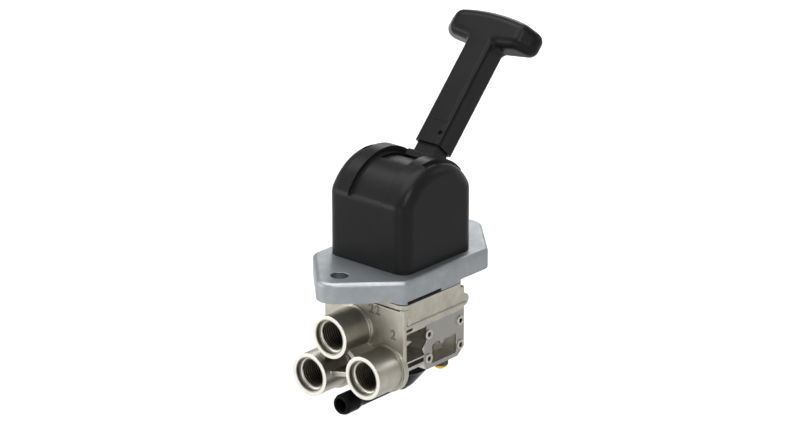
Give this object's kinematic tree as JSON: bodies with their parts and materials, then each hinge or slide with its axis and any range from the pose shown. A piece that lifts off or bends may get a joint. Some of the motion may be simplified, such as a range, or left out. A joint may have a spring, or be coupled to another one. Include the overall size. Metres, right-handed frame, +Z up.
{
  "type": "parking brake valve",
  "caption": "Lever-operated parking brake valve: T-shaped grip on a tilted lever, arched cover, pointed mounting flange, cast body with threaded ports and a barbed exhaust elbow.",
  "frame": {"origin": "midway between the two mounting holes, on the underside of the mounting flange", "axes": "+Z up out of the flange through the cover, +X along the lever's hinge and T-bar, -Y the way the three ports face"},
  "size_m": [0.0638, 0.1399, 0.1814],
  "materials": {
    "flange_metal": "satin cast",
    "body_casting": "fine cast, nickel tone",
    "cover_plastic": "fine grained",
    "grip_plastic": "fine grained",
    "elbow_plastic": "smooth",
    "plug_plastic": "smooth",
    "lever_metal": "black coated",
    "shield_plastic": "smooth",
    "steel": "zinc plated",
    "spring_steel": "drawn wire",
    "bronze": "machined",
    "piston_metal": "turned",
    "seal_rubber": "moulded"
  },
  "bodies": {
    "valve": {"mounting_flange": "flange_metal", "flange_gasket": "seal_rubber", "valve_body": "body_casting", "body_screw_front_left": "steel", "body_screw_front_right": "steel", "body_screw_back_left": "steel", "body_screw_back_right": "steel", "cover": "cover_plastic", "cover_screw_left": "steel", "cover_screw_right": "steel", "bush_left": "bronze", "bush_right": "bronze", "valve_guide": "bronze", "exhaust_elbow": "elbow_plastic", "elbow_ring": "seal_rubber", "plug_ring": "seal_rubber", "vent_plug": "plug_plastic", "tappet_spring": "spring_steel", "valve_spring": "spring_steel", "lever_spring": "spring_steel"},
    "lever": {"lever_stem": "lever_metal", "slot_shield": "shield_plastic", "pivot_shaft": "steel", "shaft_clip_left": "steel", "shaft_clip_right": "steel", "spacer_sleeve": "bronze", "cam": "steel", "stem_cap": "lever_metal", "grip_spring": "spring_steel"},
    "grip": {"grip": "grip_plastic", "grip_rod": "steel"},
    "tappet": {"tappet": "steel", "spring_seat": "steel", "main_spring": "spring_steel"},
    "piston": {"piston": "piston_metal", "piston_ring": "seal_rubber", "inlet_valve": "seal_rubber"}
  },
  "joints": [
    {"name": "lever_swing", "type": "hinge", "parent": "valve", "child": "lever", "pos_m": [0, 0, 0.0314], "axis": [1, 0, 0], "range_deg": [0, 38], "stiffness_Nm_per_rad": 0.5, "springref_deg": -40.11, "deforming": ["lever_spring"]},
    {"name": "grip_lift", "type": "slide", "parent": "lever", "child": "grip", "axis": [0, 0.682, 0.7314], "range_m": [0, 0.004], "stiffness_N_per_m": 1500, "springref_m": -0.004, "deforming": ["grip_spring"]},
    {"name": "tappet_slide", "type": "slide", "parent": "valve", "child": "tappet", "axis": [0, 0, 1], "range_m": [-0.0027, 0], "deforming": ["tappet_spring"]},
    {"name": "piston_slide", "type": "slide", "parent": "valve", "child": "piston", "axis": [0, 0, 1], "range_m": [-0.0014, 0], "deforming": ["main_spring", "valve_spring"]}
  ],
  "couplings": [
    {"joint": "tappet_slide", "follows": "lever_swing", "m_per_rad": -0.003927},
    {"joint": "piston_slide", "follows": "lever_swing", "m_per_rad": -0.00196}
  ]
}
